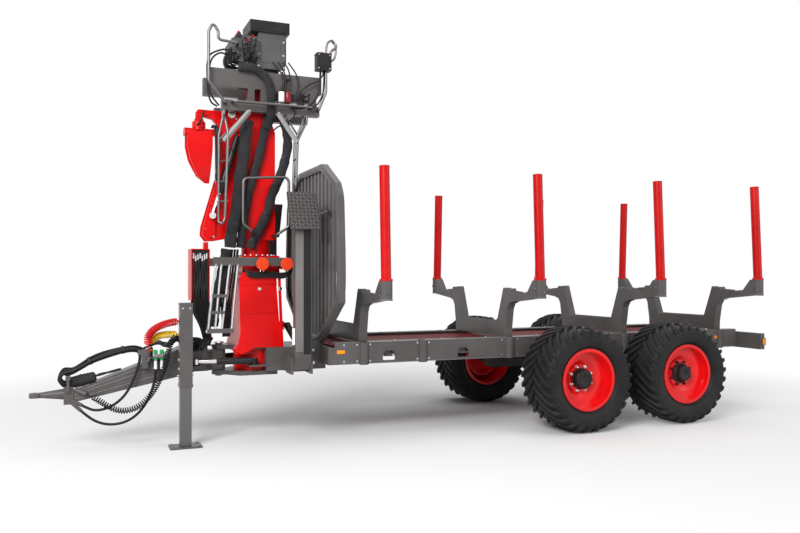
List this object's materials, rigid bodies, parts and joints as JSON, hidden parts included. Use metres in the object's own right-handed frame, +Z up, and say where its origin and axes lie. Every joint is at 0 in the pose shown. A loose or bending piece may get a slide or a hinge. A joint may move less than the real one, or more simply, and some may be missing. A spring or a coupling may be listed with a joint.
{
  "type": "forestry trailer",
  "caption": "Timber trailer with bogie wheels, stake bunks, headboard, flap-down legs, a steered drawbar and a folded log crane with grapple.",
  "frame": {"origin": "on the ground under the middle of the trailer's length and width", "axes": "+X along the trailer to its towing eye, +Y to its left side, +Z up"},
  "size_m": [7.628, 2.512, 3.958],
  "materials": {
    "tyre_rubber": "matte",
    "rim_red": "semi-gloss",
    "frame_grey": "semi-gloss",
    "pan_red": "satin",
    "stake_red": "semi-gloss",
    "crane_red": "semi-gloss",
    "valve_grey": "satin",
    "hose_black": "matte",
    "coil_red": "satin",
    "coil_yellow": "satin",
    "zinc_steel": "brushed",
    "cylinder_black": "semi-gloss",
    "rod_chrome": "polished"
  },
  "bodies": {
    "wheel_front_left": {"tyre_front_left": "tyre_rubber", "rim_front_left": "rim_red"},
    "wheel_front_right": {"tyre_front_right": "tyre_rubber", "rim_front_right": "rim_red"},
    "wheel_rear_left": {"tyre_rear_left": "tyre_rubber", "rim_rear_left": "rim_red"},
    "wheel_rear_right": {"tyre_rear_right": "tyre_rubber", "rim_rear_right": "rim_red"},
    "frame": {"bogie_left": "frame_grey", "frame_rail_left": "frame_grey", "bogie_right": "frame_grey", "frame_rail_right": "frame_grey", "floor_pan": "pan_red", "rear_bumper": "frame_grey", "bunk_1": "frame_grey", "bunk_2": "frame_grey", "bunk_3": "frame_grey", "bunk_4": "frame_grey", "stakes": "stake_red", "headboard": "frame_grey", "front_frame": "frame_grey", "crane_foot": "crane_red", "slew_gear": "frame_grey", "hose_cabinet": "crane_red"},
    "drawbar": {"drawbar": "frame_grey", "coupling_rack": "frame_grey", "drawbar_sleeve": "hose_black", "red_coil": "coil_red", "yellow_coil": "coil_yellow", "electric_coil": "hose_black", "hose_loop_1": "hose_black", "hose_loop_2": "hose_black"},
    "jack_leg": {"jack_leg": "zinc_steel"},
    "mast": {"mast": "crane_red", "top_frame": "frame_grey", "valve_gear": "valve_grey", "hand_rails": "frame_grey", "mast_ladders": "frame_grey", "hose_sleeves": "hose_black"},
    "main_boom": {"main_boom": "crane_red"},
    "stick": {"stick_boom": "crane_red"},
    "extension": {"boom_extension": "crane_red"},
    "tip_link": {"tip_link": "crane_red"},
    "grapple_head": {"grapple_head": "crane_red"},
    "jaw_left": {"jaw_left": "crane_red"},
    "support_leg_left": {"support_leg_left": "frame_grey"},
    "jaw_right": {"jaw_right": "crane_red"},
    "support_leg_right": {"support_leg_right": "frame_grey"},
    "lift_barrel": {"lift_barrel": "cylinder_black"},
    "lift_rod": {"lift_rod": "rod_chrome"},
    "fold_barrel": {"fold_barrel": "cylinder_black"},
    "fold_rod": {"fold_rod": "rod_chrome"},
    "steer_left_barrel": {"steer_left_barrel": "cylinder_black"},
    "steer_left_rod": {"steer_left_rod": "rod_chrome"},
    "steer_right_barrel": {"steer_right_barrel": "cylinder_black"},
    "steer_right_rod": {"steer_right_rod": "rod_chrome"},
    "leg_left_barrel": {"leg_left_barrel": "cylinder_black"},
    "leg_left_rod": {"leg_left_rod": "rod_chrome"},
    "leg_right_barrel": {"leg_right_barrel": "cylinder_black"},
    "leg_right_rod": {"leg_right_rod": "rod_chrome"}
  },
  "joints": [
    {"name": "wheel_front_left_spin", "type": "hinge", "parent": "frame", "child": "wheel_front_left", "pos_m": [-1.165, 1.006, 0.515], "axis": [0, 1, 0], "continuous": true},
    {"name": "wheel_front_right_spin", "type": "hinge", "parent": "frame", "child": "wheel_front_right", "pos_m": [-1.165, -1.006, 0.515], "axis": [0, 1, 0], "continuous": true},
    {"name": "wheel_rear_left_spin", "type": "hinge", "parent": "frame", "child": "wheel_rear_left", "pos_m": [-2.391, 1.006, 0.515], "axis": [0, 1, 0], "continuous": true},
    {"name": "wheel_rear_right_spin", "type": "hinge", "parent": "frame", "child": "wheel_rear_right", "pos_m": [-2.391, -1.006, 0.515], "axis": [0, 1, 0], "continuous": true},
    {"name": "steering", "type": "hinge", "parent": "frame", "child": "drawbar", "pos_m": [2.185, 0, 0.74], "axis": [0, 0, 1], "range_deg": [-35, 35]},
    {"name": "jack_slide", "type": "slide", "parent": "drawbar", "child": "jack_leg", "axis": [0, 0, 1], "range_m": [0, 0.45]},
    {"name": "slewing", "type": "hinge", "parent": "frame", "child": "mast", "pos_m": [1.835, 0, 1.8], "axis": [0, 0, 1], "range_deg": [-140, 140]},
    {"name": "boom_lift", "type": "hinge", "parent": "mast", "child": "main_boom", "pos_m": [2.085, 0, 3.05], "axis": [0, -1, 0], "range_deg": [0, 110]},
    {"name": "stick_fold", "type": "hinge", "parent": "main_boom", "child": "stick", "pos_m": [2.285, 0, 1.93], "axis": [0, 1, 0], "range_deg": [0, 130]},
    {"name": "stick_extension", "type": "slide", "parent": "stick", "child": "extension", "axis": [0, 0, 1], "range_m": [0, 0.75]},
    {"name": "tip_swing", "type": "hinge", "parent": "extension", "child": "tip_link", "pos_m": [2.375, 0, 3.065], "axis": [0, -1, 0], "range_deg": [0, 170]},
    {"name": "rotator", "type": "hinge", "parent": "tip_link", "child": "grapple_head", "pos_m": [2.375, 0, 2.91], "axis": [0, 0, 1], "continuous": true},
    {"name": "jaw_left_swing", "type": "hinge", "parent": "grapple_head", "child": "jaw_left", "pos_m": [2.375, 0.055, 2.868], "axis": [1, 0, 0], "range_deg": [0, 60]},
    {"name": "jaw_right_swing", "type": "hinge", "parent": "grapple_head", "child": "jaw_right", "pos_m": [2.375, -0.055, 2.868], "axis": [-1, 0, 0], "range_deg": [0, 60]},
    {"name": "lift_barrel_swing", "type": "hinge", "parent": "mast", "child": "lift_barrel", "pos_m": [1.8, -0.181, 1.935], "axis": [0, -1, 0], "range_deg": [-7.97, 1]},
    {"name": "lift_rod_slide", "type": "slide", "parent": "lift_barrel", "child": "lift_rod", "axis": [0.3383, 0, 0.941], "range_m": [-0.002, 0.5631]},
    {"name": "fold_barrel_swing", "type": "hinge", "parent": "main_boom", "child": "fold_barrel", "pos_m": [2.035, 0.146, 2.85], "axis": [0, -1, 0], "range_deg": [-1, 4.52]},
    {"name": "fold_rod_slide", "type": "slide", "parent": "fold_barrel", "child": "fold_rod", "axis": [0.2951, 0, -0.9555], "range_m": [-0.002, 0.2878]},
    {"name": "leg_left_drop", "type": "hinge", "parent": "frame", "child": "support_leg_left", "pos_m": [1.55, 0.61, 0.705], "axis": [-1, 0, 0], "range_deg": [0, 113]},
    {"name": "leg_left_barrel_swing", "type": "hinge", "parent": "frame", "child": "leg_left_barrel", "pos_m": [1.55, 0.12, 1.048], "axis": [-1, 0, 0], "range_deg": [-1, 7.4]},
    {"name": "leg_left_rod_slide", "type": "slide", "parent": "leg_left_barrel", "child": "leg_left_rod", "axis": [0, 0.9383, -0.3459], "range_m": [-0.002, 0.3383]},
    {"name": "leg_right_drop", "type": "hinge", "parent": "frame", "child": "support_leg_right", "pos_m": [1.55, -0.61, 0.705], "axis": [1, 0, 0], "range_deg": [0, 113]},
    {"name": "leg_right_barrel_swing", "type": "hinge", "parent": "frame", "child": "leg_right_barrel", "pos_m": [1.55, -0.12, 1.048], "axis": [1, 0, 0], "range_deg": [-1, 7.4]},
    {"name": "leg_right_rod_slide", "type": "slide", "parent": "leg_right_barrel", "child": "leg_right_rod", "axis": [0, -0.9383, -0.3459], "range_m": [-0.002, 0.3383]},
    {"name": "steer_left_barrel_swing", "type": "hinge", "parent": "frame", "child": "steer_left_barrel", "pos_m": [1.9, 0.27, 0.74], "axis": [0, 0, 1], "range_deg": [-13.7, 13.7]},
    {"name": "steer_left_rod_slide", "type": "slide", "parent": "steer_left_barrel", "child": "steer_left_rod", "axis": [0.982, -0.1888, 0], "range_m": [-0.1297, 0.1297]},
    {"name": "steer_right_barrel_swing", "type": "hinge", "parent": "frame", "child": "steer_right_barrel", "pos_m": [1.9, -0.27, 0.74], "axis": [0, 0, 1], "range_deg": [-13.7, 13.7]},
    {"name": "steer_right_rod_slide", "type": "slide", "parent": "steer_right_barrel", "child": "steer_right_rod", "axis": [0.982, 0.1888, 0], "range_m": [-0.1297, 0.1297]}
  ],
  "couplings": [
    {"joint": "jaw_right_swing", "follows": "jaw_left_swing", "ratio": 1},
    {"joint": "lift_barrel_swing", "follows": "boom_lift", "ratio": -0.06333},
    {"joint": "lift_rod_slide", "follows": "boom_lift", "m_per_rad": 0.29122},
    {"joint": "fold_barrel_swing", "follows": "stick_fold", "ratio": 0.02704},
    {"joint": "fold_rod_slide", "follows": "stick_fold", "m_per_rad": 0.1251},
    {"joint": "leg_left_barrel_swing", "follows": "leg_left_drop", "ratio": 0.05664},
    {"joint": "leg_left_rod_slide", "follows": "leg_left_drop", "m_per_rad": 0.16952},
    {"joint": "leg_right_barrel_swing", "follows": "leg_right_drop", "ratio": 0.05664},
    {"joint": "leg_right_rod_slide", "follows": "leg_right_drop", "m_per_rad": 0.16952},
    {"joint": "steer_left_barrel_swing", "follows": "steering", "ratio": 0.36282},
    {"joint": "steer_left_rod_slide", "follows": "steering", "m_per_rad": -0.20737},
    {"joint": "steer_right_barrel_swing", "follows": "steering", "ratio": 0.36282},
    {"joint": "steer_right_rod_slide", "follows": "steering", "m_per_rad": 0.20737}
  ]
}
